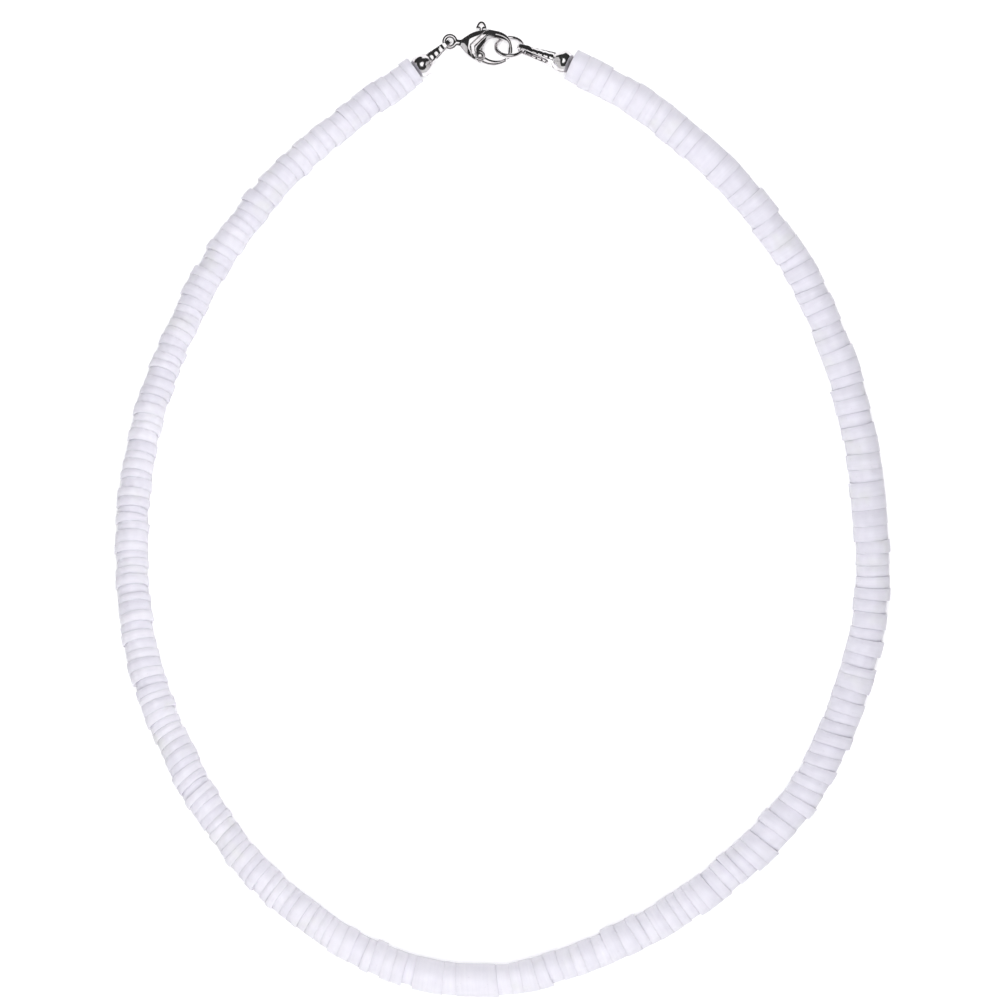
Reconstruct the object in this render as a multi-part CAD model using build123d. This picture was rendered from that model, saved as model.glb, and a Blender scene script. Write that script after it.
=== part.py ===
from build123d import *
import os
from math import atan2, ceil, cos, degrees, radians, sin, sqrt, tan
from random import Random

# Puka shell necklace, lying flat on a surface with its clasp closed.
# Millimetres, +Z up. X runs from the left strand to the right one, +Y towards the clasp.

# The loop, as it lies
loop_width = 130.0          # across the thread's route
loop_height = 161.2         # from the route's lowest point to the bead tips
closure_width = 24.6        # from the middle of one bead tip to the middle of the other
closure_rise = 0.6          # of the right bead tip beyond the left one
eye_ahead = 4.8             # of the clasp's eye from the left bead tip, towards the right one
eye_beyond = 4.2            # of the clasp's eye, away from the strand

# Strand of shell beads
bead_width = 6.0            # across a middling bead
bead_thickness = 1.9        # along the strand, of a middling bead
bead_hole = 1.2             # drilled for the thread
bead_edge = 0.22            # bevel that wear leaves round each face
bead_clearance = 0.11       # least gap between neighbours, at the inside of a bend
bead_lift = 0.12            # most that a bead's rim may stand off the surface
bead_drift = 0.22           # most that a bead is drilled off its centre, sideways

# Thread
thread_width = 0.6
knot_width = 1.7
knot_clearance = 0.05

# Bead tips, the folded cups that hold the knots
tip_width = 4.1
tip_wall = 0.35
tip_mouth = 3.0             # flat that meets the first bead
tip_thread_hole = 1.0
tip_seam = 0.16             # slit between the two cups
seam_end = 40.0             # degrees from the strip, where the slit ends
strip_thickness = 0.35
strip_root_width = 1.7
strip_end_width = 0.8
loop_clearance = 0.3        # above and below the wire that a loop holds
loop_slack = 0.45           # between the wire and the loop's round end
loop_neck = 0.45            # solid strip between a cup and its loop

# Clasp
clasp_reach = 11.1          # from the eye's centre to the outside of the hook
clasp_half_width = 3.0
clasp_thickness = 2.3
clasp_height = 2.12         # of the clasp's middle plane over the surface
clasp_turn = -8.0           # of the clasp's length from +X, in degrees
eye_width = 2.7
eye_wire = 0.7
eye_thickness = 0.9
neck_width = 1.0
arm_thickness = 1.25
arm_width = 1.35
arm_end_width = 0.72
relief_depth = 0.22
relief_width = 0.75

# Lever of the clasp, and the pin that it turns on
lever_thickness = 0.9
lever_clearance = 0.12      # between the lever and the cheeks
lever_hub_width = 1.5
lever_stem_width = 0.8
gate_width = 0.88
gate_end_width = 0.7
gate_end_drop = 0.29        # of the gate's lower corner below the pin
gate_gap = 0.14             # between the gate's end and the hook's end
gate_travel = 15.0          # degrees that the gate swings inwards
gate_slot_start = -100.0    # degrees from the clasp's length, round the pin
tab_width = 1.9
tab_reach = 1.25            # of the thumb tab beyond the stem
tab_clearance = 0.06        # between the tab's base and the crown of the body's back
stem_turn = 95.3            # degrees of the stem from the clasp's length
nose_width = 1.9            # across the cheeks at the pin
pin_width = 0.6
pin_clearance = 0.05
pin_head = 0.08             # that the pin stands out at each end

# Jump ring
ring_width = 5.55
ring_wire = 0.72
ring_tilt = 40.0            # degrees, the side under the hook down
ring_height = 1.98          # of its centre over the surface
ring_cut = 3.0              # degrees of the cut where it is opened
ring_cut_turn = 100.0       # degrees round the ring, of the cut
strip_lean = 0.55           # share of the ring's tilt that the strip on it takes up

# Places on the surface, chosen by hand, as shares of the loop's width and height. The route
# goes from one bead tip to the other round the strand, and each of its corners is rounded
# as widely as its runs allow.
CLOSURE_PLACE = (-0.015, 0.482)     # halfway between the bead tips
STRAND_ROUTE = [
    (-0.210, 0.423), (-0.310, 0.352), (-0.386, 0.271), (-0.443, 0.183), (-0.484, 0.087),
    (-0.502, -0.016), (-0.499, -0.121), (-0.465, -0.223), (-0.406, -0.321), (-0.326, -0.406),
    (-0.225, -0.470), (-0.112, -0.510), (0.008, -0.516), (0.127, -0.484), (0.238, -0.437),
    (0.333, -0.377), (0.415, -0.303), (0.464, -0.212), (0.498, -0.109), (0.494, -0.006),
    (0.478, 0.090), (0.443, 0.183), (0.392, 0.270), (0.315, 0.350), (0.223, 0.417),
    (0.154, 0.455),
]
arc_share = 0.45            # of the shorter run that a corner's arc takes up

# How the beads change along the strand: place as a share of its length, then width and
# thickness as shares of a middling bead, and how uneven neighbours are.
STRETCHES = [
    # place, width, thickness, unevenness
    (0.00, 0.88, 1.00, 0.20),
    (0.08, 0.91, 0.98, 0.22),
    (0.16, 0.91, 0.80, 0.24),
    (0.25, 0.97, 0.80, 0.25),
    (0.32, 0.98, 0.80, 0.26),
    (0.44, 0.98, 0.90, 0.26),
    (0.52, 0.98, 1.10, 0.24),
    (0.59, 1.07, 1.08, 0.26),
    (0.64, 1.12, 1.09, 0.26),
    (0.70, 1.06, 1.10, 0.26),
    (0.78, 1.02, 1.20, 0.22),
    (0.86, 0.97, 1.20, 0.20),
    (0.93, 1.00, 1.20, 0.20),
    (1.00, 0.96, 1.20, 0.20),
]
# The few beads cut from a thicker part of the shell: place, and thickness as a share of a
# middling bead's
LONG_BEADS = [(0.4615, 2.53), (0.4770, 3.63), (0.926, 2.74)]
width_spread = 0.2          # share of the unevenness that shows in a bead's width
strand_seed = 7
FIT_ROUNDS = 5              # of making the row of beads as long as its thread
ARC_STEP = 15.0             # degrees of each flat of a slot's round end

# Outlines of the clasp, as shares of its reach and of its half width, the eye's centre at 0, 0
BACK_OUTLINE = [
    (0.170, 0.19), (0.285, 0.54), (0.39, 0.77), (0.51, 0.92), (0.63, 1.00),
    (0.84, 0.88), (0.945, 0.55), (1.00, 0.00), (0.99, -0.42),
]
BELLY_OUTLINE = [(0.39, -0.83), (0.28, -0.57), (0.165, -0.18)]
OPENING_CORNER = (0.49, -0.30)
OPENING_SHOULDER = (0.565, 0.23)
opening_crown = 0.80        # share of the reach, of the opening's highest point
opening_bend = 0.104        # share of the half width, where the hook's inside runs straight down
PIVOT_PLACE = (0.505, -0.62)
GATE_BELLY = (0.735, -1.03)
RING_PLACE = (0.947, 0.20)
RELIEF_OUTLINE = [(0.56, 0.80), (0.365, -0.10), (0.42, -0.85)]
# Shares of the reach where the eye's thickness ends, the cheeks start and end, and the arm's starts
SIDE_PLACES = (0.16, 0.30, 0.56, 0.70)


def stretch_at(place):
    """Width, thickness and unevenness shares of the strand at a place along it."""
    for before, after in zip(STRETCHES, STRETCHES[1:]):
        if place <= after[0]:
            part_way = (place - before[0]) / (after[0] - before[0])
            return [a + (b - a) * part_way for a, b in zip(before[1:], after[1:])]
    return list(STRETCHES[-1][1:])


def placed(share):
    """A place on the surface, from its shares of the loop's width and height."""
    return Vector(share[0] * loop_width, share[1] * loop_height)


def strand_points():
    """The route with each point lifted to the middle of the beads that rest there."""
    half_closure = Vector(closure_width, closure_rise) / 2
    middle = placed(CLOSURE_PLACE)
    corners = [middle - half_closure, *map(placed, STRAND_ROUTE), middle + half_closure]
    runs = [(after - before).length for before, after in zip(corners, corners[1:])]
    points = []
    gone = 0.0
    for corner, run in zip(corners, runs + [0.0]):
        lift = (bead_width * stretch_at(gone / sum(runs))[0] + bead_lift) / 2
        points.append(Vector(corner.X, corner.Y, lift))
        gone += run
    return points


def eye_centre():
    """The clasp's eye, ahead of the left bead tip."""
    left_tip = strand_points()[0]
    return Vector(left_tip.X + eye_ahead, left_tip.Y + eye_beyond, clasp_height)


def corner_radii(points):
    """The radius of each corner's arc: a share of its shorter run, over the turn."""
    radii = []
    for before, corner, after in zip(points, points[1:], points[2:]):
        arriving, leaving = corner - before, after - corner
        shorter = min(arriving.length, leaving.length)
        half_turn = radians(arriving.get_angle(leaving)) / 2
        radii.append(arc_share * shorter / tan(half_turn))
    return radii


def route_wire(points):
    return FilletPolyline(*points, radius=corner_radii(points))


def seated_route():
    """The thread's line, from one knot to the other, each seated behind its cup's mouth."""
    points = strand_points()
    inset = tip_mouth_inset() - tip_wall - knot_width / 2 - knot_clearance
    first = points[0] + (points[1] - points[0]).normalized() * inset
    last = points[-1] + (points[-2] - points[-1]).normalized() * inset
    return [first] + points[1:-1] + [last], inset


def tip_mouth_inset():
    """From a cup's centre to the flat of its mouth."""
    return sqrt((tip_width / 2) ** 2 - (tip_mouth / 2) ** 2)


def thread_node(wire):
    """One length of thread with a knot at each end."""
    start = Plane(origin=wire @ 0, z_dir=wire % 0)
    tube = sweep(start * Circle(thread_width / 2), path=wire)
    knots = [Pos(*(wire @ end)) * Sphere(knot_width / 2) for end in (0, 1)]
    return tube + knots


def turn_so_far(wire):
    """How far the thread has turned, in radians, by each even step of its length."""
    steps = ceil(wire.length)
    headings = [wire % (step / steps) for step in range(steps + 1)]
    turned = [0.0]
    for before, after in zip(headings, headings[1:]):
        turned.append(turned[-1] + radians(before.get_angle(after)))
    return turned


def drawn_beads(strung_length):
    """Thickness, width, drift and lift of each bead, as many as fill the strand."""
    draw = Random(strand_seed)
    long_beads = list(LONG_BEADS)
    beads = []
    filled = 0.0
    while filled < strung_length:
        width_share, thickness_share, uneven = stretch_at(filled / strung_length)
        thickness = bead_thickness * thickness_share * (1 + uneven * draw.uniform(-1, 1))
        width = bead_width * (width_share + uneven * width_spread * draw.uniform(-1, 1))
        drift = bead_drift * draw.uniform(-1, 1)
        lift = bead_lift * draw.uniform(0, 1)
        if long_beads and filled >= long_beads[0][0] * strung_length:
            thickness = bead_thickness * long_beads.pop(0)[1]
        beads.append((thickness, width, drift, lift))
        filled += thickness + bead_clearance + bead_width * thickness / strung_length
    return beads


def strung_beads(beads, wire, margin):
    """Each bead's middle along the thread, and the one fit of their thickness that fills it."""
    turned = turn_so_far(wire)
    per_length = (len(turned) - 1) / wire.length

    def turned_at(along):
        step = min(int(along * per_length), len(turned) - 2)
        part_way = along * per_length - step
        return turned[step] + (turned[step + 1] - turned[step]) * part_way

    fit = 1.0
    for _ in range(FIT_ROUNDS):
        middles = []
        end = margin - bead_clearance
        gaps = 0.0
        before = 0.0
        for thickness, width, _, _ in beads:
            middle = end + bead_clearance + thickness * fit / 2
            turn = turned_at(min(middle, wire.length)) - turned_at(before)
            gap = bead_clearance + (width / 2 + bead_drift) * turn
            middles.append(end + gap + thickness * fit / 2)
            before = min(middles[-1], wire.length)
            end += gap + thickness * fit
            gaps += gap
        filled = sum(bead[0] for bead in beads) * fit
        fit *= (wire.length - 2 * margin + bead_clearance - gaps) / filled
    return middles, fit


def shell_bead(thickness, width, drift, rise):
    """A drilled disc about the thread, its outline off centre by drift and rise."""
    rim = Pos(drift, rise, 0) * Cylinder(width / 2, thickness)
    rim = chamfer(rim.edges().filter_by(GeomType.CIRCLE), bead_edge)
    return rim - Cylinder(bead_hole / 2, 2 * thickness)


def shell_beads(wire, start_inset):
    """The beads of the left and the right half, each standing square on the thread."""
    margin = tip_mouth_inset() - start_inset + bead_clearance
    beads = drawn_beads(wire.length - 2 * margin)
    middles, fit = strung_beads(beads, wire, margin)
    halves = ([], [])
    for (thickness, width, drift, lift), middle in zip(beads, middles):
        centre, direction = wire @ (middle / wire.length), wire % (middle / wire.length)
        outwards = direction.cross(Vector(0, 0, 1)).normalized()
        stand = Plane(origin=centre, x_dir=outwards, z_dir=direction)
        upwards = 1 if stand.y_dir.Z > 0 else -1
        rise = upwards * (width / 2 + lift - centre.Z)
        half = halves[0] if middle < wire.length / 2 else halves[1]
        half.append(stand.location * shell_bead(thickness * fit, width, drift, rise))
    return halves


def capsule(start, end, height):
    """A flat outline with round ends, from start to end along X."""
    length = end - start
    return Pos((start + end) / 2, 0) * SlotOverall(length, height)


def bead_tip(centre, mouth_direction, held_wire, wire_width, wire_height, loop_up):
    """A knot cup whose flat strip is bent to a closed loop round the wire at held_wire."""
    radius = tip_width / 2
    line = held_wire - centre
    inner_height = wire_height + 2 * loop_clearance
    loop_inner_end = line.length + wire_width / 2 + loop_slack
    loop_end = loop_inner_end + strip_thickness
    loop_height = inner_height + 2 * strip_thickness
    loop_start = radius + loop_neck

    outside = Plane.XZ * capsule(0, loop_end, loop_height)
    inside = Plane.XZ * capsule(loop_start, loop_inner_end, inner_height)
    strip = extrude(outside, strip_root_width, both=True)
    hole = extrude(inside, strip_root_width, both=True)
    half_root, half_end = strip_root_width / 2, strip_end_width / 2
    end_start = loop_end - loop_height / 2
    taper = extrude(
        make_face(Polyline(
            (0, -half_root), (radius, -half_root), (end_start, -half_end), (loop_end, -half_end),
            (loop_end, half_end), (end_start, half_end), (radius, half_root), (0, half_root), close=True,
        )),
        loop_height, both=True,
    )
    cup = Sphere(radius) + (strip & taper)
    hollow = Sphere(radius - tip_wall)
    seam_reach = radius * cos(radians(seam_end))
    seam = Pos((seam_reach - tip_width) / 2, 0, 0) * Box(seam_reach + tip_width, 2 * tip_width, tip_seam)
    frame = Plane(origin=centre, x_dir=line.normalized(), z_dir=line.cross(loop_up).cross(line))

    mouth = Plane(origin=(0, 0, 0), z_dir=frame.to_local_coords(centre + mouth_direction)).location
    inset = tip_mouth_inset()
    block = Pos(0, 0, inset + tip_width) * Box(2 * tip_width, 2 * tip_width, 2 * tip_width)
    beyond_mouth = mouth * block
    mouth_wall = mouth * Pos(0, 0, -tip_wall) * block
    thread_hole = mouth * Pos(0, 0, inset) * Cylinder(tip_thread_hole / 2, 2 * tip_wall + inset)
    return frame.location * (cup - (hollow - mouth_wall) - beyond_mouth - seam - hole - thread_hole)


def clasp_point(share):
    return (share[0] * clasp_reach, share[1] * clasp_half_width)


def clasp_frame():
    return Pos(eye_centre()) * Rot(0, 0, clasp_turn)


def plate(outline, thickness):
    return extrude(outline, thickness / 2, both=True)


def clasp_silhouette():
    """The cast body in plan, from the neck to the hook's end, with the opening cut out."""
    back = [clasp_point(share) for share in BACK_OUTLINE]
    belly = [clasp_point(share) for share in BELLY_OUTLINE]
    pivot = clasp_point(PIVOT_PLACE)
    nose_bottom = (pivot[0], pivot[1] - nose_width / 2)
    neck_start = (eye_width - eye_wire) / 2
    neck_top, neck_bottom = (neck_start, neck_width / 2), (neck_start, -neck_width / 2)
    hook_end = (clasp_reach - arm_end_width, pivot[1])
    filled = make_face([
        Line(neck_bottom, neck_top),
        Line(neck_top, back[0]),
        Spline(*back[:5], tangents=((1, 0.9), (1, 0))),
        Spline(*back[4:], tangents=((1, 0), (-0.3, -1))),
        Line(back[-1], hook_end),
        Line(hook_end, nose_bottom),
        Spline(nose_bottom, *belly, tangents=((-1, 0.1), (-1, 0.9))),
        Line(belly[-1], neck_bottom),
    ])
    nose = Pos(*pivot) * Circle(nose_width / 2)
    return filled - opening_plan() + nose


def opening_plan():
    """The hook's opening and the mouth that the gate closes."""
    corner, shoulder = clasp_point(OPENING_CORNER), clasp_point(OPENING_SHOULDER)
    crown = (opening_crown * clasp_reach, clasp_half_width - arm_width)
    hook_inside = clasp_reach - arm_end_width
    bend = (hook_inside, opening_bend * clasp_half_width)
    below = -2 * clasp_half_width
    return make_face([
        Line(corner, shoulder),
        Spline(shoulder, crown, bend, tangents=((0.6, 1), (0, -1))),
        Line(bend, (hook_inside, below)),
        Line((hook_inside, below), (corner[0], below)),
        Line((corner[0], below), corner),
    ])


def clasp_side():
    """The body seen from the side: a thin eye, full cheeks and a slimmer hook."""
    eye, cheek, arm = eye_thickness / 2, clasp_thickness / 2, arm_thickness / 2
    eye_end, cheek_start, cheek_end, arm_start = [share * clasp_reach for share in SIDE_PLACES]
    upper = [
        (-eye_width, eye), (eye_end, eye), (cheek_start, cheek), (cheek_end, cheek), (arm_start, arm),
        (2 * clasp_reach, arm),
    ]
    lower = [(place, -half) for place, half in reversed(upper)]
    side = Plane.XZ * make_face(Polyline(*upper, *lower, close=True))
    return extrude(side, 2 * clasp_half_width, both=True)


def groove_leg(start, end):
    """A straight length of the relief groove, in plan."""
    line = Vector(*end) - Vector(*start)
    turn = degrees(atan2(line.Y, line.X))
    middle = Vector(*start) + line / 2
    groove = SlotOverall(line.length + relief_width, relief_width)
    return Pos(middle.X, middle.Y) * Rot(0, 0, turn) * groove


def relief_grooves():
    """The chevron sunk in both cheeks, between the root facet and the arm."""
    top, bend, bottom = [clasp_point(share) for share in RELIEF_OUTLINE]
    plan = groove_leg(bend, top) + groove_leg(bend, bottom)
    level = clasp_thickness / 2 - relief_depth
    upper = Pos(0, 0, level) * extrude(plan, clasp_thickness)
    return upper + mirror(upper, Plane.XY)


def stem_length():
    """From the pin to the tab's base, just over the back of the body."""
    return clasp_half_width - clasp_point(PIVOT_PLACE)[1] + tab_clearance


def sector(centre, radius, start, end):
    """A pie slice in plan, between two directions in degrees."""
    flats = ceil((end - start) / ARC_STEP)
    flat = radians(end - start) / flats
    reach = radius / cos(flat / 2)
    rim = []
    for corner in range(flats + 1):
        direction = radians(start) + corner * flat
        rim.append((centre[0] + reach * cos(direction), centre[1] + reach * sin(direction)))
    return make_face(Polyline(centre, *rim, close=True))


def lever_pocket():
    """The slot between the cheeks, wide enough for the whole swing of the lever."""
    pivot = clasp_point(PIVOT_PLACE)
    clear = lever_clearance + lever_stem_width / 2
    hub = lever_hub_width / 2 + lever_clearance
    plan = Pos(*pivot) * Circle(hub)
    plan += sector(pivot, stem_length() + tab_reach, stem_turn, stem_turn + gate_travel)
    for swing in (0, gate_travel):
        slot = Pos(stem_length() / 2, 0) * Rectangle(stem_length() + tab_reach, 2 * clear)
        plan += Pos(*pivot) * Rot(0, 0, stem_turn + swing) * slot
    plan += sector(pivot, nose_width, gate_slot_start, stem_turn)
    return plate(plan, lever_thickness + 2 * lever_clearance)


def clasp_body():
    """Eye, neck, cheeks and hook, cast in one piece."""
    cast = plate(clasp_silhouette(), 2 * clasp_thickness) & clasp_side()
    eye = Cylinder(eye_width / 2, eye_thickness)
    cast = cast + eye - Cylinder(eye_width / 2 - eye_wire, 2 * eye_thickness)
    pivot = clasp_point(PIVOT_PLACE)
    bore = Pos(*pivot) * Cylinder(pin_width / 2 + pin_clearance, 2 * clasp_thickness)
    return cast - relief_grooves() - lever_pocket() - bore


def gate_plan():
    """The lever's gate, bowed outwards from the hub to the hook's end."""
    pivot = clasp_point(PIVOT_PLACE)
    belly = clasp_point(GATE_BELLY)
    end = clasp_reach - arm_end_width - gate_gap
    half_hub = lever_hub_width / 2
    outer_end = (end, pivot[1] - gate_end_drop)
    inner_end = (end, outer_end[1] + gate_end_width)
    hub_bottom, hub_top = (pivot[0], pivot[1] - half_hub), (pivot[0], pivot[1] + half_hub)
    return make_face([
        ThreePointArc(hub_bottom, belly, outer_end),
        Line(outer_end, inner_end),
        ThreePointArc(inner_end, (belly[0], belly[1] + gate_width), hub_top),
        Line(hub_top, hub_bottom),
    ])


def tab_plan():
    """The thumb tab at the stem's end, a rounded nub."""
    tip = stem_length() + tab_reach
    return make_face([
        Line((stem_length(), -tab_width / 2), (stem_length(), tab_width / 2)),
        Spline((stem_length(), tab_width / 2), (tip, 0), (stem_length(), -tab_width / 2),
               tangents=((1, -0.2), (-1, -0.2))),
    ])


def clasp_lever():
    """Hub, gate, stem and thumb tab in one flat plate."""
    pivot = clasp_point(PIVOT_PLACE)
    stem = Pos(stem_length() / 2, 0) * Rectangle(stem_length(), lever_stem_width)
    upright = Pos(*pivot) * Rot(0, 0, stem_turn) * (stem + tab_plan())
    plan = Pos(*pivot) * Circle(lever_hub_width / 2) + gate_plan() + upright
    bore = Pos(*pivot) * Cylinder(pin_width / 2 + pin_clearance, clasp_thickness)
    return plate(plan, lever_thickness) - bore


def clasp_pin():
    """The rivet through both cheeks."""
    pivot = clasp_point(PIVOT_PLACE)
    return Pos(*pivot) * Cylinder(pin_width / 2, clasp_thickness + 2 * pin_head)


def ring_frame():
    """The ring's middle plane, tilted so that one side passes under the hook."""
    centre = (clasp_frame() * Pos(*clasp_point(RING_PLACE))).position
    return Plane(Pos(centre.X, centre.Y, ring_height) * Rot(-ring_tilt, 0, 0))


def jump_ring():
    """A round wire ring, cut through where it was opened."""
    middle = (ring_width - ring_wire) / 2
    section = Plane.XZ * Pos(middle, 0) * Circle(ring_wire / 2)
    ring = revolve(section, Axis.Z, revolution_arc=360 - ring_cut)
    return ring_frame().location * Rot(0, 0, ring_cut_turn) * ring


def ring_hold(tip_centre):
    """The point of the ring's wire that faces a bead tip, and the upright of a strip round it."""
    frame = ring_frame()
    facing = frame.to_local_coords(tip_centre)
    flat = Vector(facing.X, facing.Y, 0).normalized() * ((ring_width - ring_wire) / 2)
    upright = Vector(0, 0, 1) * (1 - strip_lean) + frame.z_dir * strip_lean
    return frame.from_local_coords(flat), upright.normalized()


def build_necklace():
    route, inset = seated_route()
    wire = route_wire(route)
    left_beads, right_beads = shell_beads(wire, inset)
    left_centre, right_centre = strand_points()[0], strand_points()[-1]

    towards_eye = (eye_centre() - left_centre).normalized()
    near_eye_wire = eye_centre() - towards_eye * ((eye_width - eye_wire) / 2)
    ring_point, ring_up = ring_hold(right_centre)

    frame = clasp_frame()
    return {
        "shell_beads_left": Compound(left_beads),
        "shell_beads_right": Compound(right_beads),
        "thread": thread_node(wire),
        "bead_tip_left": bead_tip(
            left_centre, wire % 0, near_eye_wire, eye_wire, eye_thickness, Vector(0, 0, 1)),
        "bead_tip_right": bead_tip(
            right_centre, (wire % 1) * -1, ring_point, ring_wire, ring_wire, ring_up),
        "clasp_body": frame * clasp_body(),
        "clasp_pin": frame * clasp_pin(),
        "clasp_lever": frame * clasp_lever(),
        "jump_ring": jump_ring(),
    }


def centred(pieces):
    """Every piece moved alike, so that the origin is under the middle of the necklace."""
    box = Compound(list(pieces.values())).bounding_box()
    middle = (box.min + box.max) / 2
    move = Pos(-middle.X, -middle.Y, -box.min.Z)
    return {name: move * piece for name, piece in pieces.items()}


os.makedirs("parts", exist_ok=True)
for name, piece in centred(build_necklace()).items():
    export_step(piece, f"parts/{name}.step")
print("corner radii", [round(radius) for radius in corner_radii(strand_points())])
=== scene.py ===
import math
from random import Random

import bmesh
import bpy
import numpy as np
from mathutils import Matrix, Vector
from mathutils.kdtree import KDTree


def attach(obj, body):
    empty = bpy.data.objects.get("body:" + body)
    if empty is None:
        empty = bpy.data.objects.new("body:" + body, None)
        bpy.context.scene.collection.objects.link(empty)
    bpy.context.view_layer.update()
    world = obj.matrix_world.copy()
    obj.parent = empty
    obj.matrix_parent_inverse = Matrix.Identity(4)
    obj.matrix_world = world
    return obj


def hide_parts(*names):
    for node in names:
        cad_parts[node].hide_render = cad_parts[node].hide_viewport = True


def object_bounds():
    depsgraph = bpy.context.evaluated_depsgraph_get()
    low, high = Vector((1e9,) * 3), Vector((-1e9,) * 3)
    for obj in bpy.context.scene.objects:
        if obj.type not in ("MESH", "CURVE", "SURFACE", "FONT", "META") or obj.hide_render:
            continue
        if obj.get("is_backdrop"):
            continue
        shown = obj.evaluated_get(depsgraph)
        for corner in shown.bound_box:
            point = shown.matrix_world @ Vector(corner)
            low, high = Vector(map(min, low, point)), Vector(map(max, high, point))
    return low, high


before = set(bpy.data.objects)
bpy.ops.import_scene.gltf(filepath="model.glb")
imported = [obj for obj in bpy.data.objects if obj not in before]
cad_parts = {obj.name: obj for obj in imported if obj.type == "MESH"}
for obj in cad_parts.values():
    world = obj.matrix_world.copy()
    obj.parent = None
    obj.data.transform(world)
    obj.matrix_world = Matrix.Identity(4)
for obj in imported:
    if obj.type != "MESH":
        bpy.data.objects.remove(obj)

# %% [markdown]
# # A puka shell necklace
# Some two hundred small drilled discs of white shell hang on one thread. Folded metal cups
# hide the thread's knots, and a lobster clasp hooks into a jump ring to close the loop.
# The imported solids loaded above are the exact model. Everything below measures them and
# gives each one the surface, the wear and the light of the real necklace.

MM = 0.001
cad_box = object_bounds()
size = (cad_box[1] - cad_box[0]) / MM
print(f"necklace {size.x:.1f} x {size.y:.1f} x {size.z:.1f} mm, nodes: {sorted(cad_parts)}")

# %% [markdown]
# ## Two small helpers
# Every material and every Geometry Nodes tree is a list of nodes with settings and links.
# One function adds a node, so that each tree reads from top to bottom like a recipe.
# Colours are written as the hex values that a colour picker shows, and turned into the
# linear light that Blender works in.

# %% Helpers for nodes and colours
def add(tree, kind, inputs=None, **settings):
    """Adds a node. A value that is a socket is linked, and a node stands for its first output."""
    node = tree.nodes.new(kind)
    for name, value in settings.items():
        setattr(node, name, value)
    for key, value in (inputs or {}).items():
        if isinstance(value, bpy.types.Node):
            value = value.outputs[0]
        if isinstance(value, bpy.types.NodeSocket):
            tree.links.new(value, node.inputs[key])
        else:
            node.inputs[key].default_value = value
    return node


def linear(hex_colour):
    """An sRGB hex value as linear red, green, blue and alpha, by the curve of the sRGB standard."""
    shares = [int(hex_colour[i:i + 2], 16) / 255 for i in (1, 3, 5)]
    return [c / 12.92 if c <= 0.04045 else ((c + 0.055) / 1.055) ** 2.4 for c in shares] + [1.0]


print("a mid grey in linear light:", [round(c, 3) for c in linear("#808080")])

# %% [markdown]
# ## Taking the strand apart
# The model holds each bead as an exact drilled disc. A node's mesh arrives as loose
# triangles, so a copy is merged first, and its separate islands are the beads.

# %% Separate beads
WELD = 0.002 * MM       # points nearer to each other than this become one


def merged_copy(node_name):
    """A bmesh copy of a node's mesh with its loose triangles joined."""
    copy = bmesh.new()
    copy.from_mesh(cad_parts[node_name].data)
    bmesh.ops.remove_doubles(copy, verts=copy.verts, dist=WELD)
    return copy


def islands(mesh):
    """The faces of each separate piece of a bmesh."""
    unseen = set(mesh.faces)
    while unseen:
        piece, edge_of_search = [], [unseen.pop()]
        while edge_of_search:
            face = edge_of_search.pop()
            piece.append(face)
            for edge in face.edges:
                for neighbour in edge.link_faces:
                    if neighbour in unseen:
                        unseen.remove(neighbour)
                        edge_of_search.append(neighbour)
        yield piece


strand_meshes = {name: merged_copy(name) for name in ("shell_beads_left", "shell_beads_right")}
print("points in each half:", [len(mesh.verts) for mesh in strand_meshes.values()])

# %% [markdown]
# ## Measuring the beads
# The two flat faces of a disc are its largest set of triangles with one direction, which
# gives the axis. The rim then gives the width, and the inner points give the drilled hole.

# %% Each bead's place and size
UP = Vector((0, 0, 1))
SAME_WAY = 2            # decimals to which two directions count as one
RIM_BAND = 0.5 * MM     # points further in than this belong to the drilled hole


def flat_direction(faces):
    """The direction shared by the most area, either way round, which is a disc's axis."""
    areas = {}
    for face in faces:
        normal = face.normal if (face.normal.x, face.normal.y) > (0, 0) else -face.normal
        key = tuple(round(c, SAME_WAY) for c in normal)
        area, total = areas.get(key, (0.0, Vector()))
        areas[key] = (area + face.calc_area(), total + normal * face.calc_area())
    return max(areas.values(), key=lambda entry: entry[0])[1].normalized()


def along_thread(spot):
    """The way round the loop, from 0 at the left cup to 1 at the right one."""
    return (math.atan2(-spot.x, spot.y) % math.tau) / math.tau


def measured_bead(faces):
    """A bead's middle, its own three directions, its width and thickness, and where its hole is."""
    points = [v.co for v in {v for face in faces for v in face.verts}]
    axis = flat_direction(faces)
    middle = sum(points, Vector()) / len(points)
    if axis.cross(UP).dot(middle) < 0:
        axis = -axis
    outwards = axis.cross(UP).normalized()
    up = outwards.cross(axis).normalized()
    if up.z < 0:
        up = -up
    spans = []
    for direction in (outwards, up, axis):
        reach = [p.dot(direction) for p in points]
        spans.append((min(reach), max(reach)))
    (u0, u1), (v0, v1), (w0, w1) = spans
    width = v1 - v0
    centre = outwards * (u0 + u1) / 2 + up * (v0 + v1) / 2 + axis * (w0 + w1) / 2
    inner = []
    for point in points:
        across, rise = (point - centre).dot(outwards), (point - centre).dot(up)
        if math.hypot(across, rise) < width / 2 - RIM_BAND:
            inner.append((across, rise))
    hole = np.mean(inner, axis=0) if inner else (0.0, 0.0)
    return {
        "centre": centre, "outwards": outwards, "up": up, "axis": axis,
        "width": width, "thickness": w1 - w0, "hole": hole, "place": along_thread(centre),
    }


strands = {}
for strand, mesh in strand_meshes.items():
    beads = sorted((measured_bead(faces) for faces in islands(mesh)), key=lambda bead: bead["place"])
    strands[strand] = beads
    mesh.free()
    print(f"{strand}: {len(beads)} beads, {np.mean([b['width'] for b in beads]) / MM:.2f} mm wide, "
          f"{np.mean([b['thickness'] for b in beads]) / MM:.2f} mm thick")

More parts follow.
